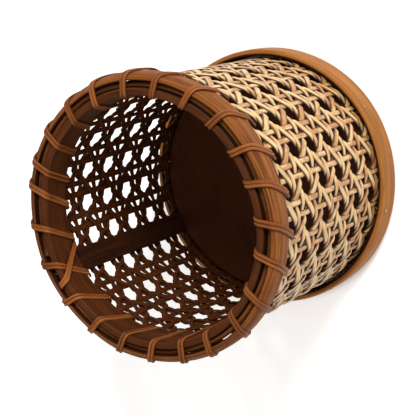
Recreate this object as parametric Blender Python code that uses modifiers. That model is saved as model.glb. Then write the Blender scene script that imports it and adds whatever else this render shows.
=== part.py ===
"""Round wastebasket of open octagonal cane weave between rattan rim hoops and a wooden base hoop.

Metres, +Z up, standing on z = 0 with the basket's axis on the origin.
The seam of the weave is at +Y, and lattice lines are counted counter-clockwise from it.
"""

import math

import bmesh
import bpy
from mathutils import Vector

# ---- driving dimensions -------------------------------------------------------------------
RIM_TOP = 0.2725                # top of both rim hoops
RIM_RADIUS = 0.1375             # outside of the outer rim hoop
RIM_OUTER_INSIDE = 0.1294       # flat inner side of the outer rim hoop
RIM_OUTER_HEIGHT = 0.0285
RIM_INNER_OUTSIDE = 0.1226
RIM_INNER_INSIDE = 0.1155
RIM_INNER_HEIGHT = 0.0335
RIM_INNER_EDGE = 0.0020         # chamfer round its inner side
BASE_RADIUS = 0.1410            # outside of the base hoop
BASE_HOOP_INSIDE = 0.1331
BASE_HOOP_HEIGHT = 0.0320
BASE_ROUND_OVER = 0.0034        # soft corner at the top of its outside
BASE_ROUND_SHARE = 0.3          # how far in the middle point of that corner lies
BASE_FOOT_EDGE = 0.0014         # chamfer at the floor
BOARD_RADIUS = 0.1250
BOARD_BOTTOM = 0.0200
BOARD_TOP = 0.0300
BOARD_EDGE = 0.0010
WALL_RADIUS_TOP = 0.1270        # middle of the weave at the rim
WALL_RADIUS_BOTTOM = 0.1295     # middle of the weave at the floor

# The outer rim hoop's rounded face, top to bottom, as (set back from its outside, below its top).
RIM_OUTER_FACE = (
    (0.0041, 0.0000),
    (0.0013, 0.0038),
    (0.0000, 0.0100),
    (0.0000, 0.0180),
    (0.0011, 0.0245),
    (0.0043, 0.0285),
)

# ---- the lattice --------------------------------------------------------------------------
CELLS_AROUND = 23
SEAM_EXTRA = 0.17               # the seam's double stake line widens the lattice by this, in cells
CELL_ANGLE = math.tau / (CELLS_AROUND + SEAM_EXTRA)
CELL_HEIGHT = 0.0363
FIRST_LINE_HEIGHT = 0.0250
LINES_UP = 7
PAIR_HALF_SPACING = 0.17        # of a cell, from a lattice line to each strand of its pair
STRAND_WIDTH = 0.0045
STRAND_THICKNESS = 0.0005
STAKE_BOTTOM = 0.0060
STAKE_TOP = 0.2645
STAKE_LOOP = 0.0030             # height of the turn that joins a pair of stakes
SEAM_STAKE_BOTTOM = 0.0080      # the seam's stakes stop short of the diagonals' turns
SEAM_STAKE_TOP = 0.2600
WEAVER_END_GAP = 0.03           # of a cell, from the seam to each end of a weaver
WEAVER_TURN = 0.12              # of a cell, width of the turn that joins a pair of weavers

# Radial places of the four layers of strands, measured from the middle of the weave.
# Strands that run round are straight from one upright line to the next.
LAYER_INNER_DIAGONAL = -0.0021
LAYER_WEAVER = -0.0013
LAYER_STAKE = -0.0005
LAYER_OUTER_DIAGONAL = 0.00145

# ---- trim ---------------------------------------------------------------------------------
HOOP_STEPS = 48
STAVE_WIDTH = 0.0250
STAVE_THICKNESS = 0.0026
STAVE_FACE = -0.0041            # its outer face, measured from the middle of the weave
STAVE_STEPS = 6
FIT_GAP = 0.0003
FILLER_RADIUS = 0.0021
FILLER_HEIGHT = 0.2674
FILLER_START = math.radians(92.5)
FILLER_SWEEP = math.radians(351.5)
LASHING_WIDTH = 0.0052
LASHING_THICKNESS = 0.0016
NAIL_EVERY = 3                  # lattice lines from one nail to the next
SEAM_NAIL_SHIFT = 0.35          # the seam's nail stands clear of its double stakes, in cells
NAIL_SHANK = 0.0008
NAIL_HEAD = 0.0019
NAIL_HEAD_HEIGHT = 0.0007
NAIL_CROWN_RADIUS = 0.7         # share of the head's radius where its crown turns over
NAIL_CROWN_HEIGHT = 0.8         # share of the head's height there
NAIL_TIP = 0.1190               # distance of the nail's tip from the axis
NAIL_STEPS = 10
DRILL_OVERRUN = 0.003           # how far a drill runs past the wood
NAIL_TIP_ROOM = 0.001           # room left beyond a nail's tip
METAL_SHINE = 0.8

# One turn of the lashing round the rim, as (radius, height, share of the way to the next cell).
LASHING_TURN = (
    (0.1272, 0.2315, 0.00),
    (0.1319, 0.2325, 0.00),
    (0.1326, 0.2400, 0.03),
    (0.1366, 0.2446, 0.08),
    (0.1389, 0.2505, 0.15),
    (0.1389, 0.2630, 0.32),
    (0.1376, 0.2698, 0.40),
    (0.1344, 0.2737, 0.45),
    (0.1170, 0.2738, 0.62),
    (0.1141, 0.2709, 0.67),
    (0.1141, 0.2406, 0.97),
    (0.1156, 0.2366, 1.00),
    (0.1225, 0.2320, 1.00),
)

# The extra tie over the seam, as (radius, height, degrees round the basket).
TIE_ROUTE = (
    (0.1203, 0.2360, 83.9),
    (0.1136, 0.2370, 83.9),
    (0.1120, 0.2410, 84.5),
    (0.1120, 0.2680, 97.0),
    (0.1134, 0.2722, 98.0),
    (0.1160, 0.2739, 98.3),
    (0.1248, 0.2739, 98.6),
    (0.1269, 0.2726, 98.6),
    (0.1270, 0.2706, 98.6),
)

# name: base colour, roughness
FINISHES = {
    "hoop_rattan": ((0.22, 0.090, 0.032, 1.0), 0.50),
    "lashing_cane": ((0.30, 0.120, 0.040, 1.0), 0.42),
    "weave_cane": ((0.60, 0.400, 0.200, 1.0), 0.40),
    "base_wood": ((0.42, 0.190, 0.065, 1.0), 0.45),
    "board_wood": ((0.050, 0.018, 0.008, 1.0), 0.60),
    "stave_wood": ((0.075, 0.028, 0.012, 1.0), 0.55),
    "nail_steel": ((0.10, 0.065, 0.045, 1.0), 0.45),
}


def clear_scene():
    for old in list(bpy.data.objects):
        bpy.data.objects.remove(old)


def make_collection(name):
    collection = bpy.data.collections.new(name)
    bpy.context.scene.collection.children.link(collection)
    return collection


def make_finish(name):
    colour, roughness = FINISHES[name]
    finish = bpy.data.materials.new(name)
    finish.use_nodes = True
    shader = finish.node_tree.nodes["Principled BSDF"]
    shader.inputs["Base Color"].default_value = colour
    shader.inputs["Roughness"].default_value = roughness
    shader.inputs["Metallic"].default_value = METAL_SHINE if name == "nail_steel" else 0.0
    return finish


def add_object(name, data, collection, finish):
    piece = bpy.data.objects.new(name, data)
    piece.data.materials.append(finish)
    collection.objects.link(piece)
    return piece


def around(radius, angle, height):
    return Vector((radius * math.cos(angle), radius * math.sin(angle), height))


def wall_radius(height):
    return WALL_RADIUS_BOTTOM + (WALL_RADIUS_TOP - WALL_RADIUS_BOTTOM) * height / RIM_TOP


def on_wall(angle, height, layer):
    return around(wall_radius(height) + layer, angle, height)


def cell_angle(place):
    """Angle of a place counted in cells: whole is mid-cell, a half more is the upright line after it."""
    rounds, local = divmod(place, CELLS_AROUND)
    past_last = max(0.0, local - (CELLS_AROUND - 1))
    cells = 0.5 + SEAM_EXTRA / 2 + local + SEAM_EXTRA * past_last
    return math.pi / 2 + cells * CELL_ANGLE + rounds * math.tau


def line_height(line):
    return FIRST_LINE_HEIGHT + line * CELL_HEIGHT


def placed_grid(name, columns, rows, place, keep=None):
    """A sheet of columns by rows faces, each corner put where place(column, row) says."""
    bm = bmesh.new()
    bmesh.ops.create_grid(bm, x_segments=columns, y_segments=rows, size=1.0)
    if keep:
        dropped = []
        for face in bm.faces:
            middle = face.calc_center_median()
            column = int((middle.x + 1) / 2 * columns)
            row = int((middle.y + 1) / 2 * rows)
            if not keep(column, row):
                dropped.append(face)
        bmesh.ops.delete(bm, geom=dropped, context="FACES")
    for vert in bm.verts:
        column = round((vert.co.x + 1) / 2 * columns)
        row = round((vert.co.y + 1) / 2 * rows)
        vert.co = place(column, row)
    mesh = bpy.data.meshes.new(name)
    bm.to_mesh(mesh)
    bm.free()
    return mesh


def solid_sheet(name, mesh, thickness, collection, finish):
    piece = add_object(name, mesh, collection, finish)
    solid = piece.modifiers.new("thickness", "SOLIDIFY")
    solid.thickness = thickness
    solid.offset = 0.0
    solid.use_even_offset = True
    return piece


def turn_profile(piece, steps):
    screw = piece.modifiers.new("turn", "SCREW")
    screw.axis = "Z"
    screw.angle = math.tau
    screw.steps = steps
    screw.render_steps = steps
    screw.use_merge_vertices = True
    screw.merge_threshold = 0.00001


def turned(name, profile, steps, collection, finish):
    """A closed profile of (radius, height) points turned once about the Z axis."""
    bm = bmesh.new()
    ring = [bm.verts.new((radius, 0.0, height)) for radius, height in profile]
    for start, end in zip(ring, ring[1:] + ring[:1]):
        bm.edges.new((start, end))
    mesh = bpy.data.meshes.new(name)
    bm.to_mesh(mesh)
    bm.free()
    piece = add_object(name, mesh, collection, finish)
    turn_profile(piece, steps)
    return piece


def cut_holes(piece, cutters):
    for cutter in cutters:
        hole = piece.modifiers.new("hole", "BOOLEAN")
        hole.object = cutter
        hole.operation = "DIFFERENCE"


def make_outer_hoop(collection, finish):
    profile = [(RIM_OUTER_INSIDE, RIM_TOP)]
    profile += [(RIM_RADIUS - back, RIM_TOP - down) for back, down in RIM_OUTER_FACE]
    profile += [(RIM_OUTER_INSIDE, RIM_TOP - RIM_OUTER_HEIGHT)]
    return turned("rim_outer_hoop", profile, HOOP_STEPS, collection, finish)


def make_inner_hoop(collection, finish):
    low = RIM_TOP - RIM_INNER_HEIGHT
    profile = (
        (RIM_INNER_INSIDE + RIM_INNER_EDGE, RIM_TOP),
        (RIM_INNER_OUTSIDE, RIM_TOP),
        (RIM_INNER_OUTSIDE, low),
        (RIM_INNER_INSIDE + RIM_INNER_EDGE, low),
        (RIM_INNER_INSIDE, low + RIM_INNER_EDGE),
        (RIM_INNER_INSIDE, RIM_TOP - RIM_INNER_EDGE),
    )
    return turned("rim_inner_hoop", profile, HOOP_STEPS, collection, finish)


def make_base_hoop(collection, finish, cutters):
    turn = BASE_ROUND_OVER * BASE_ROUND_SHARE
    profile = (
        (BASE_HOOP_INSIDE, BASE_HOOP_HEIGHT),
        (BASE_RADIUS - BASE_ROUND_OVER, BASE_HOOP_HEIGHT),
        (BASE_RADIUS - turn, BASE_HOOP_HEIGHT - turn),
        (BASE_RADIUS, BASE_HOOP_HEIGHT - BASE_ROUND_OVER),
        (BASE_RADIUS, BASE_FOOT_EDGE),
        (BASE_RADIUS - BASE_FOOT_EDGE, 0.0),
        (BASE_HOOP_INSIDE, 0.0),
    )
    piece = turned("base_hoop", profile, HOOP_STEPS, collection, finish)
    cut_holes(piece, cutters)
    return piece


def make_base_board(collection, finish, cutters):
    bm = bmesh.new()
    bmesh.ops.create_cone(
        bm,
        cap_ends=True,
        segments=HOOP_STEPS,
        radius1=BOARD_RADIUS,
        radius2=BOARD_RADIUS,
        depth=BOARD_TOP - BOARD_BOTTOM,
    )
    mesh = bpy.data.meshes.new("base_board")
    bm.to_mesh(mesh)
    bm.free()
    piece = add_object("base_board", mesh, collection, finish)
    piece.location.z = (BOARD_TOP + BOARD_BOTTOM) / 2
    edge = piece.modifiers.new("edge", "BEVEL")
    edge.width = BOARD_EDGE
    edge.segments = 1
    cut_holes(piece, cutters)
    return piece


def make_filler_reed(collection, finish):
    curve = bpy.data.curves.new("rim_filler_reed", "CURVE")
    curve.dimensions = "3D"
    curve.bevel_depth = FILLER_RADIUS
    curve.bevel_resolution = 1
    curve.use_fill_caps = True
    spline = curve.splines.new("POLY")
    middle = (RIM_OUTER_INSIDE + RIM_INNER_OUTSIDE) / 2
    spline.points.add(HOOP_STEPS - 1)
    for index, point in enumerate(spline.points):
        angle = FILLER_START + FILLER_SWEEP * index / (HOOP_STEPS - 1)
        point.co = (*around(middle, angle, FILLER_HEIGHT), 1.0)
    return add_object("rim_filler_reed", curve, collection, finish)


def make_stave(collection, finish):
    low = BOARD_TOP + FIT_GAP
    high = RIM_TOP - RIM_INNER_HEIGHT - FIT_GAP
    layer = STAVE_FACE - STAVE_THICKNESS / 2

    def place(column, row):
        height = low + (high - low) * row
        across = (column / STAVE_STEPS - 0.5) * STAVE_WIDTH
        return on_wall(math.pi / 2 + across / wall_radius(height), height, layer)

    sheet = placed_grid("seam_stave", STAVE_STEPS, 1, place)
    return solid_sheet("seam_stave", sheet, STAVE_THICKNESS, collection, finish)


def make_stake(number, angle, spacing, low, high, collection, finish):
    """A hairpin of two upright strands, joined by a turn at the top."""
    heights = (low, high - STAKE_LOOP, high)

    def place(column, row):
        height = heights[row]
        radius = wall_radius(height)
        spread = spacing * CELL_ANGLE
        half = STRAND_WIDTH / 2 / radius
        edges = (-spread - half, -spread + half, spread - half, spread + half)
        return on_wall(angle + edges[column], height, LAYER_STAKE)

    name = f"cane_stake_{number:02d}"
    sheet = placed_grid(name, 3, 2, place, keep=lambda column, row: column != 1 or row == 1)
    return solid_sheet(name, sheet, STRAND_THICKNESS, collection, finish)


def make_weaver(line, collection, finish):
    """A hairpin of two level strands round the basket, joined at one side of the seam."""
    middle = line_height(line)
    spread = PAIR_HALF_SPACING * CELL_HEIGHT
    half = STRAND_WIDTH / 2
    edges = (-spread - half, -spread + half, spread - half, spread + half)
    places = [-0.5 + WEAVER_END_GAP, -0.5 + WEAVER_END_GAP + WEAVER_TURN]
    places += [cell + 0.5 for cell in range(CELLS_AROUND - 1)]
    places += [CELLS_AROUND - 0.5 - WEAVER_END_GAP]

    def place(column, row):
        return on_wall(cell_angle(places[row]), middle + edges[column], LAYER_WEAVER)

    name = f"cane_weaver_{line + 1:02d}"
    sheet = placed_grid(name, 3, len(places) - 1, place, keep=lambda column, row: column != 1 or row == 0)
    return solid_sheet(name, sheet, STRAND_THICKNESS, collection, finish)


def diagonal_stations(first, legs):
    """The strand's middle points as (place round, height, rising): one per cell, two coming down."""
    stations = []
    for leg in range(legs):
        rising = leg % 2 == 0
        steps = LINES_UP if rising else 2 * LINES_UP
        for step in range(steps + 1):
            along = step * LINES_UP / steps
            line = along if rising else LINES_UP - along
            stations.append((first + 0.5 + leg * LINES_UP + along, line_height(line - 0.5), rising))
    return stations


def make_diagonal(index, first, legs, collection, finish):
    """A strand that climbs inside the weavers and comes down outside the stakes."""
    stations = diagonal_stations(first, legs)

    def place(column, row):
        position, height, rising = stations[row]
        layer = LAYER_INNER_DIAGONAL if rising else LAYER_OUTER_DIAGONAL
        side = STRAND_WIDTH / 2 * (1 if column else -1) * math.sqrt(2.0)
        return on_wall(cell_angle(position) + side / wall_radius(height), height, layer)

    name = f"cane_diagonal_{index:02d}"
    sheet = placed_grid(name, 1, len(stations) - 1, place)
    return solid_sheet(name, sheet, STRAND_THICKNESS, collection, finish)


def make_lashing(collection, finish):
    """One strand that spirals over both rim hoops, once through each cell of the top row."""
    rows = []
    for cell in range(CELLS_AROUND):
        start = cell_angle(cell)
        step = cell_angle(cell + 1) - start
        for radius, height, share in LASHING_TURN:
            rows.append((radius, height, start + step * share))
    rows = rows[1:-1]

    def place(column, row):
        radius, height, angle = rows[row]
        side = LASHING_WIDTH / 2 * (1 if column else -1)
        return around(radius, angle + side / radius, height)

    sheet = placed_grid("rim_lashing", 1, len(rows) - 1, place)
    return solid_sheet("rim_lashing", sheet, LASHING_THICKNESS, collection, finish)


def make_seam_tie(collection, finish):
    def place(column, row):
        radius, height, degrees = TIE_ROUTE[row]
        side = LASHING_WIDTH / 2 * (1 if column else -1)
        return around(radius, math.radians(degrees) + side / radius, height)

    sheet = placed_grid("seam_tie", 1, len(TIE_ROUTE) - 1, place)
    return solid_sheet("seam_tie", sheet, LASHING_THICKNESS, collection, finish)


def nail_angles():
    places = [line - 0.5 for line in range(0, CELLS_AROUND, NAIL_EVERY)]
    places[0] += SEAM_NAIL_SHIFT
    return [cell_angle(place) for place in places]


def make_nail(number, angle, collection, finish):
    """A round-headed nail lying along its radius of the basket, head outwards."""
    head = BASE_RADIUS + FIT_GAP
    profile = (
        (0.0, head + NAIL_HEAD_HEIGHT),
        (NAIL_HEAD * NAIL_CROWN_RADIUS, head + NAIL_HEAD_HEIGHT * NAIL_CROWN_HEIGHT),
        (NAIL_HEAD, head),
        (NAIL_SHANK, head),
        (NAIL_SHANK, NAIL_TIP + 2 * NAIL_SHANK),
        (0.0, NAIL_TIP),
    )
    bm = bmesh.new()
    points = [bm.verts.new((radius, 0.0, distance)) for radius, distance in profile]
    for start, end in zip(points, points[1:]):
        bm.edges.new((start, end))
    name = f"base_nail_{number}"
    mesh = bpy.data.meshes.new(name)
    bm.to_mesh(mesh)
    bm.free()
    piece = add_object(name, mesh, collection, finish)
    turn_profile(piece, NAIL_STEPS)
    piece.rotation_euler = (0.0, math.pi / 2, angle)
    piece.location.z = FIRST_LINE_HEIGHT
    return piece


def make_nail_cutter(name, start, end, angle, collection):
    """A drill of the nail's size plus clearance, between two distances from the axis."""
    bm = bmesh.new()
    bmesh.ops.create_cone(
        bm,
        cap_ends=True,
        segments=NAIL_STEPS,
        radius1=NAIL_SHANK + FIT_GAP,
        radius2=NAIL_SHANK + FIT_GAP,
        depth=end - start,
    )
    mesh = bpy.data.meshes.new(name)
    bm.to_mesh(mesh)
    bm.free()
    cutter = bpy.data.objects.new(name, mesh)
    cutter.location = around((start + end) / 2, angle, FIRST_LINE_HEIGHT)
    cutter.rotation_euler = (0.0, math.pi / 2, angle)
    cutter.hide_render = True
    cutter.display_type = "WIRE"
    collection.objects.link(cutter)
    return cutter


def make_weave(collection, finish):
    for line in range(1, CELLS_AROUND):
        angle = cell_angle(line - 0.5)
        make_stake(line, angle, PAIR_HALF_SPACING, STAKE_BOTTOM, STAKE_TOP, collection, finish)
    for number, side in ((CELLS_AROUND, -1), (CELLS_AROUND + 1, 1)):
        angle = math.pi / 2 + side * PAIR_HALF_SPACING * CELL_ANGLE
        spacing = PAIR_HALF_SPACING / 2
        make_stake(number, angle, spacing, SEAM_STAKE_BOTTOM, SEAM_STAKE_TOP, collection, finish)
    for line in range(LINES_UP):
        make_weaver(line, collection, finish)
    strands = (CELLS_AROUND + 1) // 2
    for index in range(strands):
        legs = 4 if index < strands - 1 else 2
        first = 4 * LINES_UP * index
        make_diagonal(index + 1, first % CELLS_AROUND, legs, collection, finish)


def main():
    clear_scene()
    parts = make_collection("wastebasket")
    cutters = make_collection("cutters")
    finishes = {name: make_finish(name) for name in FINISHES}
    hoop_drills = []
    board_drills = []
    hoop_span = (BASE_HOOP_INSIDE - DRILL_OVERRUN, BASE_RADIUS + DRILL_OVERRUN)
    board_span = (NAIL_TIP - NAIL_TIP_ROOM, BOARD_RADIUS + DRILL_OVERRUN)
    for number, angle in enumerate(nail_angles(), start=1):
        make_nail(number, angle, parts, finishes["nail_steel"])
        hoop_drills.append(make_nail_cutter(f"hoop_drill_{number}", *hoop_span, angle, cutters))
        board_drills.append(make_nail_cutter(f"board_drill_{number}", *board_span, angle, cutters))
    make_base_board(parts, finishes["board_wood"], board_drills)
    make_base_hoop(parts, finishes["base_wood"], hoop_drills)
    make_outer_hoop(parts, finishes["hoop_rattan"])
    make_inner_hoop(parts, finishes["hoop_rattan"])
    make_filler_reed(parts, finishes["hoop_rattan"])
    make_stave(parts, finishes["stave_wood"])
    make_weave(parts, finishes["weave_cane"])
    make_lashing(parts, finishes["lashing_cane"])
    make_seam_tie(parts, finishes["lashing_cane"])


main()
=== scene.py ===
"""Looks of the cane wastebasket: real over-and-under weave, grained hoops, lashing, board and nails."""

import math

import bpy
import numpy as np
from mathutils import Matrix, Vector


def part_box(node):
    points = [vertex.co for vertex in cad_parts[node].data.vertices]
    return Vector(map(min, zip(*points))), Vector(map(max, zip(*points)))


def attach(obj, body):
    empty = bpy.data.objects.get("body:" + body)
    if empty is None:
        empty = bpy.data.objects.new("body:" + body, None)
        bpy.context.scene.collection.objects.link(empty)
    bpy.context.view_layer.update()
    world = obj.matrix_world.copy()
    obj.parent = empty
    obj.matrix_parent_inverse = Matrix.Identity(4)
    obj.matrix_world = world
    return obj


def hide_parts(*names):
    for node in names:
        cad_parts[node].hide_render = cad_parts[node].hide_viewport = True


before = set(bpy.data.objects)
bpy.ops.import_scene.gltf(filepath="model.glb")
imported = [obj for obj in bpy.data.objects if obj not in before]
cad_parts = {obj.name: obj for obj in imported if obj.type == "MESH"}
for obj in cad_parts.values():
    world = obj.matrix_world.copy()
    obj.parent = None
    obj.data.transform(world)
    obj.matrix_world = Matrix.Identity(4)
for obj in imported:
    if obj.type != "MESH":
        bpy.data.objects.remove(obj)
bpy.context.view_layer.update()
rng = np.random.default_rng(7)

# ---- sizes, in metres, in the frame of the CAD --------------------------------------------------
RIM_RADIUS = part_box("rim_outer_hoop")[1].x
RIM_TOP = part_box("rim_outer_hoop")[1].z
INNER_HOOP_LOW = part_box("rim_inner_hoop")[0].z
BASE_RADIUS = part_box("base_hoop")[1].x
BASE_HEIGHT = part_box("base_hoop")[1].z
BOARD_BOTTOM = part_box("base_board")[0].z
BOARD_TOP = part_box("base_board")[1].z

# Faces that meet a neighbour. They differ from the CAD's by up to 1.2 mm, because it keeps gaps there
# and its strands are thinner.
OUTER_HOOP_INSIDE = 0.1296
OUTER_HOOP_LOW = 0.2438
INNER_HOOP_OUTSIDE = 0.1232
INNER_HOOP_INSIDE = 0.1156
BASE_INSIDE = 0.1336
BOARD_RADIUS = 0.1262

# ---- the lattice, in cells unless it says otherwise -----------------------------------------------
WALL_TOP = 0.1270               # radius of the middle of the weave at the rim, in metres
WALL_BOTTOM = 0.1295            # and at the floor
CELLS = 23
SEAM_EXTRA = 0.17               # the seam's double stake line widens the lattice by this
CELL_ANGLE = math.tau / (CELLS + SEAM_EXTRA)
CELL_HEIGHT = 0.0363            # in metres
FIRST_LINE = 0.0250             # height of the lowest level line, in metres
LINES = 7
PAIR = 0.17                     # from a lattice line to each strand of its pair
CROSS = 0.33                    # from a lattice line to where a diagonal crosses its pair
STAKE_SPAN = (-0.56, 6.62)      # foot and top of a stake, from the lowest line
DIAGONAL_SPAN = (-0.04, 7.1)    # of a diagonal, from half a cell under the lowest line
WEAVER_END_GAP = 0.03           # from the seam to each end of a weaver
DIAGONAL_STRETCH = 1.38         # length of a diagonal for each cell of height
HUG_RISING = 0.082              # how far a rising diagonal bends round the holes
HUG_FALLING = -0.02             # and a falling one
HUG_TWICE = 0.024               # a rising one's second bend, twice a cell
HUG_SHIFT = 0.014               # how far a rising one stands to one side
HUG_DROP = 0.2                  # how far a bend lowers a strand, as a share of the bend

# ---- strands, in metres -----------------------------------------------------------------------------
CANE_HALF = 0.0033              # half the width
CANE_THICK = 0.0015
UNDER_REACH = 0.0031            # how far the shade of a crossing spreads along the strand below
STAKE_WANDER = 0.0014           # radians
WEAVER_WANDER = 0.00035
DIAGONAL_WANDER = 0.010         # of a cell

# How each family is laid: relief is how far a strand rises over or dips under the middle of the weave,
# width scales CANE_HALF, swell widens it where it is on top, and tone is the range of its colour.
STAKE_STYLE = {"relief": 0.00035, "width": 0.97, "swell": 0.03, "tone": (0.5, 1.0)}
WEAVER_STYLE = {"relief": 0.00120, "width": 1.06, "swell": 0.22, "tone": (0.2, 0.9)}
RISING_STYLE = {"relief": 0.00150, "width": 0.95, "swell": 0.32, "tone": (0.0, 0.55)}
FALLING_STYLE = {"relief": 0.00150, "width": 1.04, "swell": 0.16, "tone": (0.3, 0.9)}

# ---- hoops and trim, in metres -------------------------------------------------------------------
POLE_SHOULDER = 0.0016          # how thick the outer hoop is at its top and bottom edges
INNER_CORNER = 0.0018
BASE_CORNER = 0.0023
BASE_BULGE = 0.0004             # how far the base band's outer face swells
BASE_DARK_STRIP = 0.0026           # width of the darker strip on the band's top and foot, from its inner side
DARK_STRIP_FADE = 0.0012             # width over which that darker strip fades out
GRAIN_SPAN = 0.03               # length of section over which the ridges' waves are counted
RIDGE_WAVES = 9
FILLER_RADIUS = 0.0026
FILLER_PLACE = 0.1264           # distance of the reed from the axis
FILLER_HEIGHT = 0.2662
FILLER_ENDS = (math.radians(96.0), math.radians(443.2))
FILLER_POP = 0.0035             # how far its last end stands up
BOARD_EDGE = 0.0009
BOARD_HUB = 0.0004
STRAP_HALF = 0.0122
STRAP_FACES = (-0.0056, -0.0028)  # its inner and outer face, from the middle of the weave
STRAP_EDGE = 0.0008
STRAP_RADIUS = 0.128            # turns its width into an angle
LASH_HALF = 0.0034
TIE_HALF = 0.0031
LASH_THICK = 0.0021
LASH_GRAIN = 0.0026             # width over which its grain is counted
BUNCH_SHIFT = -0.46             # the turns beside the seam lean back by this much of a cell
BUNCH_CELL = 20.4
BUNCH_SPREAD = 1.2
NAIL_EVERY = 3                  # lattice lines from one nail to the next
SEAM_NAIL_SHIFT = 0.35          # the seam's nail stands clear of its double stakes, in cells

# A nail from tip to crown, as (radius, distance from the basket's axis).
NAIL_PROFILE = (
    (0.0008, 0.1200), (0.0008, 0.1404), (0.0022, 0.1407),
    (0.0022, 0.1412), (0.0016, 0.1416), (0.0005, 0.1418),
)


# ---- small helpers ------------------------------------------------------------------------------
def cell_angle(place):
    """Angle of a place counted in cells: whole is mid-cell, a half more is the upright line after it."""
    place = np.asarray(place, float)
    rounds = np.floor(place / CELLS)
    local = place - rounds * CELLS
    past = np.maximum(0.0, local - (CELLS - 1))
    return math.pi / 2 + (0.5 + SEAM_EXTRA / 2 + local + SEAM_EXTRA * past) * CELL_ANGLE + rounds * math.tau


def wall_radius(z):
    """Radius of the middle of the weave at a height."""
    return WALL_BOTTOM + (WALL_TOP - WALL_BOTTOM) * np.asarray(z) / RIM_TOP


def rim_wave(angle):
    """Out-of-roundness of the hand-bent rim hoops, as a change of radius."""
    oval = 0.0006 * np.cos(2 * (angle - 0.5)) + 0.0004 * np.cos(3 * angle + 1.0)
    return oval + 0.00022 * np.cos(7 * angle + 2.0)


def rim_lift(angle):
    """How far the rim hoops rise and dip as they run round."""
    return 0.0005 * np.sin(3 * angle + 0.4) + 0.0003 * np.sin(8 * angle + 1.7)


def polar(radius, angle, z):
    radius, angle, z = np.broadcast_arrays(radius, angle, z)
    return np.stack([radius * np.cos(angle), radius * np.sin(angle), z], -1)


def wander(length, size, waves=3):
    """A smooth random drift along 0..1 of a strand."""
    t = np.linspace(0, 1, length)
    out = np.zeros(length)
    for k in range(1, waves + 1):
        out += np.sin(math.tau * (k * 1.7 * t + rng.random())) / k
    return size * out


def unit(v):
    return v / np.maximum(np.linalg.norm(v, axis=-1, keepdims=True), 1e-12)


class Batch:
    """Collects swept solids into one mesh with per-point attributes."""

    def __init__(self):
        self.verts, self.faces, self.data, self.count = [], [], {}, 0

    def add(self, rings, closed=False, **attributes):
        """rings is (length, around, 3); each solid is closed round, and capped or joined end to start."""
        n, m, _ = rings.shape
        base = self.count
        grid = base + np.arange(n * m).reshape(n, m)
        a = grid if closed else grid[:-1]
        b = np.roll(grid, -1, 0) if closed else grid[1:]
        quads = np.stack([a, b, np.roll(b, -1, 1), np.roll(a, -1, 1)], -1).reshape(-1, 4)
        self.faces.extend(quads.tolist())
        if not closed:
            self.faces.append(grid[0].tolist())
            self.faces.append(grid[-1][::-1].tolist())
        self.verts.append(rings.reshape(-1, 3))
        for name, value in attributes.items():
            value = np.asarray(value, float)
            if value.ndim == 1 and value.shape[0] == n and n != m:
                value = value[:, None]
            self.data.setdefault(name, []).append(np.broadcast_to(value, (n, m)).reshape(-1))
        self.count += n * m

    def make(self, name, material, slot, *replaced, angle=50.0):
        mesh = bpy.data.meshes.new(name)
        mesh.from_pydata(np.concatenate(self.verts).tolist(), [], self.faces)
        for key, parts in self.data.items():
            mesh.attributes.new(key, "FLOAT", "POINT").data.foreach_set("value", np.concatenate(parts))
        mesh.validate()
        mesh.shade_smooth()
        mesh.set_sharp_from_angle(angle=math.radians(angle))
        mesh.materials.append(material)
        piece = bpy.data.objects.new(name, mesh)
        bpy.context.scene.collection.objects.link(piece)
        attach(piece, "root")
        if replaced:
            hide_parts(*replaced)
        return piece


def sweep(points, outward, half, thick, section):
    """Rings of a strap along points. section is (across, up) in half-widths and thicknesses."""
    tangent = unit(np.gradient(points, axis=0))
    side = unit(np.cross(outward, tangent))
    up = unit(np.cross(tangent, side))
    across, rise = np.array(section).T
    half = np.broadcast_to(half, len(points))[:, None, None]
    thick = np.broadcast_to(thick, len(points))[:, None, None]
    aside = side[:, None] * half * across[None, :, None]
    raised = up[:, None] * thick * rise[None, :, None]
    return points[:, None] + aside + raised


def distance_along(points):
    return np.concatenate([[0.0], np.cumsum(np.linalg.norm(np.diff(points, axis=0), axis=1))])


def eased(x, knots, levels):
    """Levels at x, turning smoothly from each knot to the next."""
    i = np.clip(np.searchsorted(knots, x) - 1, 0, len(knots) - 2)
    t = np.clip((x - knots[i]) / (knots[i + 1] - knots[i]), 0, 1)
    t = t * t * (3 - 2 * t)
    return levels[i] * (1 - t) + levels[i + 1] * t


def under(x, knots, levels, cell):
    """1 where the strand passes under another, fading to 0 away from it: the mask of the painted shade and
    pooled glaze there.
    """
    out = np.zeros(len(x))
    for knot in knots[levels < 0]:
        out = np.maximum(out, np.exp(-(((x - knot) * cell / UNDER_REACH) ** 2)))
    return out


# ---- the weave --------------------------------------------------------------------------------
CANE = (
    (-1.0, -0.26), (-0.95, -0.02), (-0.72, 0.28), (-0.38, 0.50), (0.0, 0.58),
    (0.38, 0.50), (0.72, 0.28), (0.95, -0.02), (1.0, -0.26), (0.84, -0.42), (0.0, -0.46), (-0.84, -0.42),
)
# skin is 1 on a strand's outer face and 0 on its back, which gets dark stain and painted shade
CANE_SKIN = np.array([0.35, 0.8, 1, 1, 1, 1, 1, 0.8, 0.35, 0, 0, 0])
CANE_ACROSS = np.array([a for a, _ in CANE])


def add_cane(batch, angle, z, level, dark, relief, width, swell, tone):
    """A strand lying on the wall, given its angles, heights, level and how far it is under others."""
    radius = wall_radius(z) + level * relief
    points = polar(radius, angle, z)
    outward = polar(1.0, angle, 0.0)
    n = len(points)
    half = CANE_HALF * width * (1 + wander(n, 0.035)) * (1 + swell * np.clip(level, -1, 1))
    rings = sweep(points, outward, half, CANE_THICK * rng.uniform(0.92, 1.1), CANE)
    batch.add(
        rings,
        along=distance_along(points) + rng.uniform(0, 40),
        across=CANE_ACROSS[None],
        skin=CANE_SKIN[None],
        tone=rng.uniform(*tone),
        under=dark,
    )


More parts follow.
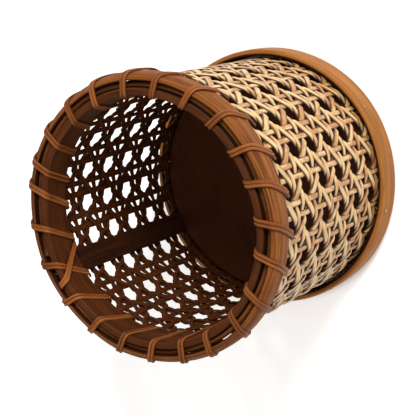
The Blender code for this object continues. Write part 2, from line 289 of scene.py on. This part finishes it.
def make_stakes(material, replaced):
    batch = Batch()
    y = np.arange(*STAKE_SPAN, 1 / 12)
    lines = np.arange(-1, LINES + 1)
    knots = np.concatenate([[n - CROSS, n - PAIR, n + PAIR, n + CROSS] for n in lines])
    first = np.tile([1.0, 1.0, -1.0, -1.0], len(lines))
    places = []
    for column in range(1, CELLS):
        middle = SEAM_EXTRA / 2 + column
        places += [(middle - PAIR, 0), (middle + PAIR, 1)]
    places += [(-1.5 * PAIR, 0), (-0.5 * PAIR, 1), (0.5 * PAIR, 0), (1.5 * PAIR, 1)]
    for cells, which in places:
        levels = -first if which else first
        z = FIRST_LINE + y * CELL_HEIGHT
        angle = math.pi / 2 + cells * CELL_ANGLE + wander(len(y), STAKE_WANDER)
        level = eased(y, knots, levels)
        dark = under(y, knots, levels, CELL_HEIGHT)
        add_cane(batch, angle, z, level, dark, **STAKE_STYLE)
    return batch.make("woven_stakes", material, "weave_cane", *replaced)


def make_weavers(material, replaced):
    batch = Batch()
    total = CELLS + SEAM_EXTRA
    u = np.linspace(WEAVER_END_GAP, total - WEAVER_END_GAP, 290)
    cell = CELL_ANGLE * WALL_TOP
    seam = [-0.5 * PAIR, 0.5 * PAIR, 1.5 * PAIR, SEAM_EXTRA / 2 + CROSS]
    knots, first = list(seam), [1.0, -1.0, 1.0, 1.0]
    for column in range(1, CELLS):
        middle = SEAM_EXTRA / 2 + column
        knots += [middle - CROSS, middle - PAIR, middle + PAIR, middle + CROSS]
        first += [-1.0, -1.0, 1.0, 1.0]
    knots += [total - place for place in reversed(seam)]
    first += [-1.0, -1.0, 1.0, -1.0]
    knots, first = np.array(knots), np.array(first)
    for line in range(LINES):
        for side in (-1, 1):
            levels = first if side < 0 else -first
            z = FIRST_LINE + (line + side * PAIR) * CELL_HEIGHT + wander(len(u), WEAVER_WANDER, 5)
            angle = math.pi / 2 + u * CELL_ANGLE
            level = eased(u, knots, levels)
            dark = under(u, knots, levels, cell)
            add_cane(batch, angle, z, level, dark, **WEAVER_STYLE)
    return batch.make("woven_weavers", material, "weave_cane", *replaced)


def hug(place, lean):
    """Sideways bend of a diagonal round the holes, in cells."""
    if lean < 0:
        return HUG_FALLING * np.sin(math.tau * place)
    return HUG_RISING * np.sin(math.tau * place) - HUG_TWICE * np.sin(2 * math.tau * place) - HUG_SHIFT


def make_diagonals(material, replaced):
    batch = Batch()
    p = np.arange(*DIAGONAL_SPAN, 1 / 22)
    cells = np.arange(-1, 9)
    knots = np.concatenate([[n - PAIR, n + PAIR, n + CROSS, n + 1 - CROSS] for n in cells])
    rising = np.tile([1.0, 1.0, -1.0, -1.0], len(cells))
    for start in range(CELLS):
        for lean, style in ((1, RISING_STYLE), (-1, FALLING_STYLE)):
            levels = rising * lean
            drift = wander(len(p), DIAGONAL_WANDER)
            sway = hug(p, lean)
            z = FIRST_LINE + (p - 0.5 - HUG_DROP * sway) * CELL_HEIGHT
            angle = cell_angle(start + 0.5 + lean * p + drift + sway)
            level = eased(p, knots, levels)
            dark = under(p, knots, levels, CELL_HEIGHT * DIAGONAL_STRETCH)
            add_cane(batch, angle, z, level, dark, **style)
    return batch.make("woven_diagonals", material, "weave_cane", *replaced)


# ---- hoops --------------------------------------------------------------------------------------
def ridges(across, angle, amount, seed):
    """Fine lengthwise fibre ridges that drift slowly as they run round."""
    local = np.random.default_rng(seed)
    out = 0.0
    for _ in range(RIDGE_WAVES):
        waves = local.uniform(5, 22)
        drift = 0.5 * np.sin(local.integers(1, 5) * angle + local.uniform(0, 6.28))
        fade = 0.6 + 0.4 * np.sin(local.integers(2, 9) * angle + local.uniform(0, 6.28))
        out = out + fade * np.sin(math.tau * (waves * across + drift + local.random()))
    return amount * out / 3


def rounded(r_in, r_out, low, high, corner, bulge=0.0, steps=5, across=14):
    """A strap's section as (radius, z, place across), outer side first, corners rounded."""
    out = []
    turns = ((r_out, high, 90), (r_out, low, 0), (r_in, low, -90), (r_in, high, -180))
    for k, (r, z, start) in enumerate(turns):
        cr = r - corner if r == r_out else r + corner
        cz = z - corner if z == high else z + corner
        for s in range(steps):
            turn = math.radians(start - 90 * s / (steps - 1))
            out.append((cr + corner * math.cos(turn), cz + corner * math.sin(turn)))
        nr, nz, _ = turns[(k + 1) % 4]
        nr = nr - corner if nr == r_out else nr + corner
        nz = nz - corner if nz == high else nz + corner
        turn = math.radians(start - 90)
        a = np.array(out[-1])
        b = np.array([nr + corner * math.cos(turn), nz + corner * math.sin(turn)])
        fill = across if abs(b[1] - a[1]) > abs(b[0] - a[0]) else 2
        for s in range(1, fill):
            point = a + (b - a) * s / fill
            if k == 0:
                point[0] += bulge * math.sin(math.pi * s / fill)
            out.append(tuple(point))
    return np.array(out)


def lathe(batch, section, angles, wave, lift, amount, seed, lit_side=1.0, dark_strip=-1.0):
    """A whole hoop of that section, with fibre ridges on its faces.

    lit_side is 1 where its outer face is the lit one and -1 for the inner face; the other face, toward
    the weave, is painted in shade. Its skin is also darker over a strip of the given width from its
    inner side.
    """
    section = section[::-1]
    r, z = section[:, 0], section[:, 1]
    middle = np.array([r.mean(), z.mean()])
    step = np.roll(section, -1, 0) - np.roll(section, 1, 0)
    normal = unit(np.stack([-step[:, 1], step[:, 0]], 1))
    flip = np.sign(((section - middle) * normal).sum(1).sum())
    normal = normal * flip
    around = np.cumsum(np.linalg.norm(np.diff(np.vstack([section, section[:1]]), axis=0), axis=1))
    high = ridges(around[None] / GRAIN_SPAN, angles[:, None], amount, seed)
    radius = r[None] + normal[None, :, 0] * high + wave(angles)[:, None]
    height = z[None] + normal[None, :, 1] * high + lift(angles)[:, None]
    rings = polar(radius, angles[:, None], height)
    # the face toward the weave gets a low skin value, which paints shade on it
    unshaded_face = np.clip(0.5 + 1.5 * (lit_side * normal[:, 0] + np.abs(normal[:, 1])), 0, 1)
    shown = np.clip((r - r.min() - dark_strip) / DARK_STRIP_FADE, 0.1, 1)
    batch.add(
        rings,
        closed=True,
        along=(angles * r.mean())[:, None],
        across=around[None],
        tone=0.5,
        high=high / amount,
        skin=(unshaded_face * shown)[None],
    )


def make_rim_outer(material, replaced):
    batch = Batch()
    t = np.linspace(0, 1, 30)
    swell = (1 - np.abs(2 * t - 1) ** 3.0) ** 0.6
    shoulder = OUTER_HOOP_INSIDE + POLE_SHOULDER
    face = shoulder + (RIM_RADIUS - shoulder) * swell
    outside = np.stack([face, RIM_TOP + (OUTER_HOOP_LOW - RIM_TOP) * t], 1)
    flat = np.linspace(OUTER_HOOP_LOW + 0.001, RIM_TOP - 0.001, 6)
    section = np.vstack([outside, np.stack([np.full(6, OUTER_HOOP_INSIDE), flat], 1)])
    angles = np.linspace(0, math.tau, 420, endpoint=False)
    lathe(batch, section, angles, rim_wave, rim_lift, 0.00022, 3)
    return batch.make("rim_outer_pole", material, "hoop_rattan", *replaced, angle=60)


def make_rim_inner(material, replaced):
    batch = Batch()
    section = rounded(INNER_HOOP_INSIDE, INNER_HOOP_OUTSIDE, INNER_HOOP_LOW, RIM_TOP - 0.0004, INNER_CORNER)
    angles = np.linspace(0, math.tau, 360, endpoint=False)
    lathe(batch, section, angles, rim_wave, rim_lift, 0.00008, 11, lit_side=-1.0)
    return batch.make("rim_inner_strap", material, "hoop_rattan", *replaced, angle=60)


def make_filler(material, replaced):
    batch = Batch()
    angle = np.linspace(*FILLER_ENDS, 300)
    drift = np.sin(angle * 5 + 1) * 0.0005 + np.sin(angle * 9 + 2) * 0.0003
    pop = FILLER_POP * np.clip((angle - FILLER_ENDS[1]) * 9 + 1, 0, 1) ** 2
    z = FILLER_HEIGHT + 0.0010 * np.sin(angle * 4) + rim_lift(angle) + pop
    points = polar(FILLER_PLACE + rim_wave(angle) + drift, angle, z)
    ring = [(math.cos(a), math.sin(a)) for a in np.linspace(math.tau, 0, 12, endpoint=False)]
    rings = sweep(points, polar(1.0, angle, 0.0), FILLER_RADIUS, FILLER_RADIUS, ring)
    around = np.linspace(0, 0.01, 12)[None]
    batch.add(rings, along=distance_along(points), across=around, tone=0.7, high=-0.6, skin=1.0)
    return batch.make("rim_filler_cane", material, "hoop_rattan", *replaced)


def base_wave(angle):
    """Out-of-roundness of the base band, as a change of radius."""
    return 0.0006 * np.cos(2 * angle + 0.3) + 0.0003 * np.cos(5 * angle + 1)


def make_base_hoop(material, replaced):
    batch = Batch()
    section = rounded(BASE_INSIDE, BASE_RADIUS - BASE_BULGE, 0.0, BASE_HEIGHT, BASE_CORNER, bulge=BASE_BULGE)
    angles = np.linspace(0, math.tau, 360, endpoint=False)
    lathe(batch, section, angles, base_wave, np.zeros_like, 0.00003, 23, dark_strip=BASE_DARK_STRIP)
    return batch.make("base_band", material, "base_wood", *replaced, angle=60)


def make_board(material, replaced):
    batch = Batch()
    middle, rim = BOARD_RADIUS * 0.5, BOARD_RADIUS - BOARD_EDGE
    underside = [(BOARD_HUB, BOARD_BOTTOM), (middle, BOARD_BOTTOM), (rim, BOARD_BOTTOM)]
    side = [(BOARD_RADIUS, BOARD_BOTTOM + BOARD_EDGE), (BOARD_RADIUS, BOARD_TOP - BOARD_EDGE)]
    top = [(rim, BOARD_TOP), (middle, BOARD_TOP), (BOARD_HUB, BOARD_TOP)]
    angles = np.linspace(0, math.tau, 144, endpoint=False)
    r, z = np.array(underside + side + top).T
    batch.add(polar(r[:, None], -angles[None], z[:, None]), tone=0.5)
    return batch.make("floor_board", material, "board_wood", *replaced, angle=40)


def make_stave(material, replaced):
    batch = Batch()
    z = np.linspace(BOARD_TOP + 0.0002, INNER_HOOP_LOW + 0.0006, 60)
    across = np.linspace(-1, 1, 13)
    half = STRAP_HALF + wander(len(z), 0.0003)[:, None]
    inner, outer = STRAP_FACES
    radius = wall_radius(z)[:, None]
    round_off = STRAP_EDGE * np.abs(across) ** 6
    ahead = math.pi / 2 + half * across[None] / STRAP_RADIUS
    front = polar(radius + inner + round_off[None], ahead, z[:, None])
    back = polar(radius + outer, ahead[:, ::-1], z[:, None])
    rings = np.concatenate([front, back], 1)
    ring_across = np.concatenate([across, across[::-1]]) * 0.0125
    batch.add(rings, along=z, across=ring_across[None], tone=0.4, high=0.0, skin=1.0)
    return batch.make("seam_strap", material, "stave_wood", *replaced)


# ---- lashing ------------------------------------------------------------------------------------
LASH = (
    (-1.0, -0.30), (-0.97, 0.15), (-0.74, 0.46), (-0.45, 0.52), (-0.16, 0.36), (0.0, 0.20), (0.16, 0.36),
    (0.45, 0.52), (0.74, 0.46), (0.97, 0.15), (1.0, -0.30), (0.5, -0.48), (-0.5, -0.48),
)
LASH_ACROSS = np.array([a for a, _ in LASH])
# One turn as (radius, height, share of the way to the next cell).
LASH_TURN = (
    (0.1268, 0.2312, 0.00), (0.1318, 0.2330, 0.00), (0.1346, 0.2395, 0.03), (0.1374, 0.2450, 0.09),
    (0.1384, 0.2520, 0.17), (0.1384, 0.2620, 0.31), (0.1368, 0.2695, 0.41), (0.1325, 0.2735, 0.46),
    (0.1262, 0.2738, 0.50), (0.1190, 0.2735, 0.54), (0.1150, 0.2706, 0.60), (0.1148, 0.2600, 0.72),
    (0.1147, 0.2450, 0.90), (0.1150, 0.2375, 0.97), (0.1190, 0.2335, 1.00),
)


def curve_through(points, per):
    """Catmull-Rom curve through points, with that many points for each stretch."""
    p = np.vstack([2 * points[0] - points[1], points, 2 * points[-1] - points[-2]])
    t = np.linspace(0, 1, per, endpoint=False)[:, None]
    out = []
    for a, b, c, d in zip(p, p[1:], p[2:], p[3:]):
        bend = (2 * a - 5 * b + 4 * c - d) * t**2
        out.append(0.5 * (2 * b + (c - a) * t + bend + (3 * b - a - 3 * c + d) * t**3))
    return np.vstack(out + [points[-1:]])


def add_lash(batch, route, half):
    """A strap over the rim along (radius, z, angle) points; it faces away from the hoops."""
    path = curve_through(np.array(route), 5)
    angle = path[:, 2]
    r = path[:, 0] + rim_wave(angle)
    z = path[:, 1] + rim_lift(angle)
    slope = np.gradient(path[:, :2], axis=0)
    away = unit(np.stack([slope[:, 1], -slope[:, 0]], 1))
    outward = polar(away[:, 0], angle, away[:, 1])
    points = polar(r, angle, z)
    width = half * (1 + wander(len(points), 0.03, 9))
    rings = sweep(points, outward, width, LASH_THICK, LASH)
    high = np.interp(LASH_ACROSS, [-1, -0.45, 0, 0.45, 1], [-0.8, 1, -1, 1, -0.8])
    batch.add(
        rings,
        along=distance_along(points),
        across=LASH_ACROSS[None] * LASH_GRAIN,
        tone=0.5,
        high=high[None],
        skin=1.0,
    )


def make_lashing(material, replaced):
    batch = Batch()
    route = []
    for cell in range(CELLS):
        start = float(cell_angle(cell))
        step = float(cell_angle(cell + 1)) - start
        bunch = BUNCH_SHIFT * math.exp(-(((cell - BUNCH_CELL) / BUNCH_SPREAD) ** 2))
        shift = rng.normal(0, 0.05)
        slant = rng.normal(0, 0.03)
        for k, (r, z, share) in enumerate(LASH_TURN):
            loose = math.sin(math.pi * k / (len(LASH_TURN) - 1))
            lean = shift * loose + slant * (share - 0.5) * loose
            place = share + lean + bunch * (0.35 + 0.65 * loose)
            route.append((r + 0.0002 * rng.random(), z, start + step * place))
    add_lash(batch, route, LASH_HALF)
    return batch.make("rim_wrapping", material, "lashing_cane", *replaced)


def make_tie(material, replaced):
    batch = Batch()
    turn = math.radians
    route = [
        (0.1215, 0.2335, turn(81.6)), (0.1150, 0.2375, turn(81.8)), (0.1136, 0.2420, turn(83.2)),
        (0.1128, 0.2530, turn(87.8)), (0.1126, 0.2600, turn(90.8)), (0.1132, 0.2680, turn(94.6)),
        (0.1150, 0.2728, turn(96.8)), (0.1190, 0.2748, turn(97.6)), (0.1240, 0.2742, turn(98.0)),
        (0.1266, 0.2700, turn(98.0)),
    ]
    add_lash(batch, route, TIE_HALF)
    return batch.make("seam_cross_tie", material, "lashing_cane", *replaced)


def make_nails(material, nodes):
    places = [line - 0.5 for line in range(0, CELLS, NAIL_EVERY)]
    places[0] += SEAM_NAIL_SHIFT
    up = Vector((0, 0, 1))
    circle = [(math.cos(t), math.sin(t)) for t in np.linspace(0, math.tau, 16, endpoint=False)]
    for number, place in enumerate(places, start=1):
        angle = float(cell_angle(place))
        out = Vector((math.cos(angle), math.sin(angle), 0))
        side = Vector((-math.sin(angle), math.cos(angle), 0))
        batch = Batch()
        rings = []
        for radius, reach in NAIL_PROFILE:
            centre = out * reach + up * FIRST_LINE
            rings.append([tuple(centre + side * (radius * x) + up * (radius * y)) for x, y in circle])
        batch.add(np.array(rings)[:, ::-1], tone=0.5)
        batch.make(f"nail_{number}", material, "nail_steel", nodes[number - 1], angle=40)


# ---- materials ----------------------------------------------------------------------------------
def srgb(*colour):
    """Linear colour of an sRGB colour given from 0 to 255."""
    return tuple(((c / 255 + 0.055) / 1.055) ** 2.4 if c > 10 else c / 255 / 12.92 for c in colour) + (1.0,)


class Paint:
    """A Principled material and short ways to add nodes to it."""

    def __init__(self, name):
        self.material = bpy.data.materials.new(name)
        self.material.use_nodes = True
        self.tree = self.material.node_tree
        self.shader = self.tree.nodes["Principled BSDF"]

    def put(self, socket, value):
        if isinstance(value, bpy.types.NodeSocket):
            self.tree.links.new(value, socket)
        else:
            socket.default_value = value

    def set(self, **values):
        for name, value in values.items():
            self.put(self.shader.inputs[name.replace("_", " ")], value)

    def attribute(self, name):
        node = self.tree.nodes.new("ShaderNodeAttribute")
        node.attribute_name = name
        return node.outputs["Fac"]

    def math(self, operation, a, b=0.0):
        node = self.tree.nodes.new("ShaderNodeMath")
        node.operation = operation
        for socket, value in zip(node.inputs, (a, b)):
            self.put(socket, value)
        return node.outputs[0]

    def times(self, value, factor):
        return self.math("MULTIPLY", value, factor)

    def vector(self, x, y, z):
        node = self.tree.nodes.new("ShaderNodeCombineXYZ")
        for socket, value in zip(node.inputs, (x, y, z)):
            self.put(socket, value)
        return node.outputs[0]

    def noise(self, vector, scale, detail=3.0, rough=0.55):
        node = self.tree.nodes.new("ShaderNodeTexNoise")
        self.put(node.inputs["Vector"], vector)
        self.put(node.inputs["Scale"], scale)
        self.put(node.inputs["Detail"], detail)
        self.put(node.inputs["Roughness"], rough)
        return node.outputs["Fac"]

    def grain(self, x, y, seed, detail=3.0, rough=0.55):
        """Noise over two lengths, which are stretched beforehand."""
        return self.noise(self.vector(x, y, seed), 1.0, detail, rough)

    def range(self, value, low, high, to_low=0.0, to_high=1.0):
        node = self.tree.nodes.new("ShaderNodeMapRange")
        node.interpolation_type = "SMOOTHSTEP"
        for socket, item in zip(node.inputs, (value, low, high, to_low, to_high)):
            self.put(socket, item)
        return node.outputs[0]

    def mix(self, share, a, b):
        node = self.tree.nodes.new("ShaderNodeMix")
        node.data_type = "RGBA"
        self.put(node.inputs["Factor"], share)
        self.put(node.inputs[6], a)
        self.put(node.inputs[7], b)
        return node.outputs[2]

    def bump(self, height, distance):
        node = self.tree.nodes.new("ShaderNodeBump")
        self.put(node.inputs["Height"], height)
        node.inputs["Distance"].default_value = distance
        node.inputs["Strength"].default_value = 1.0
        return node.outputs[0]


def cane_material():
    paint = Paint("peeled_cane")
    along, across = paint.attribute("along"), paint.attribute("across")
    tone, skin, below = paint.attribute("tone"), paint.attribute("skin"), paint.attribute("under")
    seed = paint.times(tone, 37.0)
    patch = paint.grain(paint.times(along, 55.0), paint.times(across, 0.5), seed, 2.0)
    streak = paint.grain(paint.times(along, 60.0), paint.times(across, 4.5), seed, 5.0, 0.7)
    pale = paint.mix(paint.range(streak, 0.35, 0.7), srgb(214, 184, 134), srgb(176, 134, 82))
    pink = paint.mix(paint.range(streak, 0.3, 0.7), srgb(190, 138, 80), srgb(142, 88, 42))
    warmth = paint.math("ADD", patch, paint.times(paint.math("SUBTRACT", tone, 0.5), 0.34))
    body = paint.mix(paint.range(warmth, 0.44, 0.64), pale, pink)
    # darker along both edges of each strand: partly glaze, partly painted shade
    edge_glaze_and_shade = paint.range(paint.math("ABSOLUTE", across), 0.5, 0.86)
    body = paint.mix(paint.times(edge_glaze_and_shade, 0.94), body, srgb(50, 24, 11))
    # darker where the strand passes under another: pooled glaze and painted shade
    body = paint.mix(paint.range(below, 0.2, 0.9, 0.0, 0.95), body, srgb(40, 20, 10))
    # the strand's back, facing into the basket: dark stain and painted shade of the basket's inside
    back_stain_and_shade = paint.mix(paint.range(streak, 0.35, 0.7), srgb(48, 22, 10), srgb(98, 52, 24))
    outer = paint.range(skin, 0.1, 0.6)
    paint.set(
        Base_Color=paint.mix(outer, back_stain_and_shade, body),
        Roughness=paint.range(streak, 0.2, 0.8, 0.36, 0.52),
        Specular_IOR_Level=paint.range(skin, 0.1, 0.6, 0.05, 0.3),
        Normal=paint.bump(streak, 0.00025),
    )
    return paint.material


def fibre_material(name, light, mid, dark, rough, fineness, depth, gloss, contrast=0.85):
    """Rattan or wood whose fibres run along the piece, darker where its skin attribute is low: painted shade
    on a hoop's face toward the weave, and a darker strip on the base band.

    fineness is how close its fibres lie, depth the height of its bump, and contrast how dark it is
    between the fibres.
    """
    paint = Paint(name)
    along, across = paint.attribute("along"), paint.attribute("across")
    tone, high = paint.attribute("tone"), paint.attribute("high")
    fine = paint.grain(paint.times(along, 14.0), paint.times(across, 1500.0 * fineness), tone, 5.0, 0.65)
    broad = paint.grain(paint.times(along, 9.0), paint.times(across, 260.0 * fineness), tone)
    blotch = paint.grain(paint.times(along, 26.0), paint.times(across, 60.0), 3.0, 2.0)
    colour = paint.mix(paint.range(broad, 0.32, 0.68), mid, light)
    colour = paint.mix(paint.range(fine, 0.54, 0.38, 0.0, contrast), colour, dark)
    colour = paint.mix(paint.range(blotch, 0.5, 0.78, 0.0, 0.5), colour, dark)
    colour = paint.mix(paint.range(high, 0.1, -1.1, 0.0, contrast), colour, dark)
    # low skin: painted shade on a hoop's face toward the weave, and the darker strip along the base band's
    # inner side
    colour = paint.mix(paint.range(paint.attribute("skin"), 0.5, 0.05), colour, srgb(42, 20, 9))
    paint.set(
        Base_Color=colour,
        Specular_IOR_Level=gloss,
        Roughness=paint.range(fine, 0.25, 0.75, rough - 0.07, rough + 0.14),
        Normal=paint.bump(paint.math("ADD", fine, paint.times(broad, 0.6)), depth),
    )
    return paint.material


def rim_material():
    colours = srgb(152, 92, 42), srgb(108, 58, 22), srgb(54, 24, 8)
    return fibre_material("rim_rattan", *colours, 0.5, fineness=1.2, depth=0.0005, gloss=0.08, contrast=0.8)


def inner_rim_material():
    colours = srgb(90, 46, 16), srgb(72, 36, 12), srgb(34, 15, 6)
    return fibre_material("rim_strap", *colours, 0.5, fineness=1.0, depth=0.0002, gloss=0.1, contrast=0.6)


def lashing_material():
    colours = srgb(156, 92, 44), srgb(122, 66, 28), srgb(54, 25, 9)
    return fibre_material("lashing_strip", *colours, 0.48, fineness=1.6, depth=0.0003, gloss=0.1)


def seam_material():
    colours = srgb(58, 28, 10), srgb(44, 20, 7), srgb(28, 12, 5)
    return fibre_material("seam_stain", *colours, 0.50, fineness=1.0, depth=0.0002, gloss=0.1)


def band_material():
    colours = srgb(168, 112, 54), srgb(148, 92, 42), srgb(104, 60, 25)
    return fibre_material("bent_wood", *colours, 0.5, fineness=0.7, depth=0.00018, gloss=0.06, contrast=0.6)


def board_material():
    paint = Paint("stained_board")
    place = paint.tree.nodes.new("ShaderNodeTexCoord").outputs["Object"]
    parts = paint.tree.nodes.new("ShaderNodeSeparateXYZ")
    paint.put(parts.inputs[0], place)
    x, y, z = parts.outputs
    grain = paint.grain(paint.times(x, 9.0), paint.times(y, 320.0), z, 4.0, 0.6)
    cloud = paint.grain(paint.times(x, 14.0), paint.times(y, 22.0), z)
    colour = paint.mix(paint.range(grain, 0.3, 0.7), srgb(58, 27, 9), srgb(70, 34, 12))
    colour = paint.mix(paint.range(cloud, 0.45, 0.75, 0.0, 0.6), colour, srgb(40, 18, 8))
    paint.set(
        Base_Color=colour,
        Roughness=paint.range(grain, 0.2, 0.8, 0.42, 0.6),
        Normal=paint.bump(grain, 0.00012),
        Specular_IOR_Level=0.1,
    )
    return paint.material


def nail_material():
    paint = Paint("darkened_nail")
    place = paint.tree.nodes.new("ShaderNodeTexCoord").outputs["Object"]
    rust = paint.noise(place, 900.0, 3.0)
    paint.set(
        Base_Color=paint.mix(paint.range(rust, 0.4, 0.65), srgb(190, 140, 90), srgb(120, 76, 40)),
        Roughness=paint.range(rust, 0.3, 0.7, 0.35, 0.6),
        Normal=paint.bump(rust, 0.0001),
        Metallic=0.55,
    )
    return paint.material


def floor_material():
    """Pale floor that glows a little beyond the basket's foot, so that it stays white."""
    paint = Paint("pale_floor")
    place = paint.tree.nodes.new("ShaderNodeTexCoord").outputs["Object"]
    mottle = paint.noise(place, 3.0, 4.0)
    distance = paint.tree.nodes.new("ShaderNodeVectorMath")
    distance.operation = "LENGTH"
    paint.put(distance.inputs[0], place)
    near, far = BASE_RADIUS - 0.003, BASE_RADIUS + 0.009
    paint.set(
        Base_Color=paint.mix(mottle, (0.90, 0.90, 0.90, 1), (0.93, 0.93, 0.93, 1)),
        Roughness=0.8,
        Emission_Color=(1.0, 1.0, 1.0, 1.0),
        Emission_Strength=paint.range(distance.outputs["Value"], near, far, 0.0, 0.4),
    )
    return paint.material


# ---- light and camera -----------------------------------------------------------------------------
def soft_light(name, place, aim, size, power, colour):
    data = bpy.data.lights.new(name, "AREA")
    data.shape = "DISK"
    data.size = size
    data.energy = power
    data.color = colour
    lamp = bpy.data.objects.new(name, data)
    lamp.location = place
    lamp.rotation_euler = (Vector(aim) - Vector(place)).to_track_quat("-Z", "Y").to_euler()
    bpy.context.scene.collection.objects.link(lamp)


def make_studio():
    """Pale floor and world, a warm key light and a weak fill."""
    world = bpy.data.worlds.new("studio")
    bpy.context.scene.world = world
    world.use_nodes = True
    sky = world.node_tree.nodes["Background"]
    sky.inputs["Color"].default_value = (1.0, 0.99, 0.97, 1.0)
    sky.inputs["Strength"].default_value = 0.5
    middle = (0.0, 0.0, 0.12)
    soft_light("key", (0.95, -1.25, 1.55), middle, 0.7, 46.0, (1.0, 0.97, 0.92))
    soft_light("fill", (-1.3, -0.6, 1.1), middle, 1.2, 6.0, (1.0, 0.98, 0.96))
    bpy.context.scene.view_settings.view_transform = "Standard"
    bpy.ops.mesh.primitive_plane_add(size=14.0, location=(0.0, 0.0, -0.0003))
    floor = bpy.context.object
    floor.name = "studio_floor"
    floor.data.materials.append(floor_material())


def make_camera():
    """Above the basket and rolled, so that the basket seems to lie on its side."""
    right = Vector((-0.42892, -0.74770, -0.50692))
    up = Vector((0.90161, -0.38914, -0.18890))
    back = right.cross(up).normalized()
    right = up.cross(back).normalized()
    up = back.cross(right)
    data = bpy.data.cameras.new("photo_view")
    data.lens = 96.19
    data.sensor_width = 36.0
    data.sensor_fit = "HORIZONTAL"
    camera = bpy.data.objects.new("photo_view", data)
    place = Matrix((right, up, back)).transposed().to_4x4()
    place.translation = Vector((-0.0712, -0.5998, 1.1012))
    camera.matrix_world = place
    bpy.context.scene.collection.objects.link(camera)
    bpy.context.scene.camera = camera


def named(start):
    """CAD nodes whose names begin that way."""
    return sorted(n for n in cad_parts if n.startswith(start))


def main():
    cane = cane_material()
    rattan = rim_material()
    inner = inner_rim_material()
    lash = lashing_material()
    strap = seam_material()
    band = band_material()
    make_stakes(cane, named("cane_stake"))
    make_weavers(cane, named("cane_weaver"))
    make_diagonals(cane, named("cane_diagonal"))
    make_rim_outer(rattan, ["rim_outer_hoop"])
    make_rim_inner(inner, ["rim_inner_hoop"])
    make_filler(rattan, ["rim_filler_reed"])
    make_lashing(lash, ["rim_lashing"])
    make_tie(lash, ["seam_tie"])
    make_stave(strap, ["seam_stave"])
    make_base_hoop(band, ["base_hoop"])
    make_board(board_material(), ["base_board"])
    make_nails(nail_material(), named("base_nail"))
    make_studio()
    make_camera()


main()
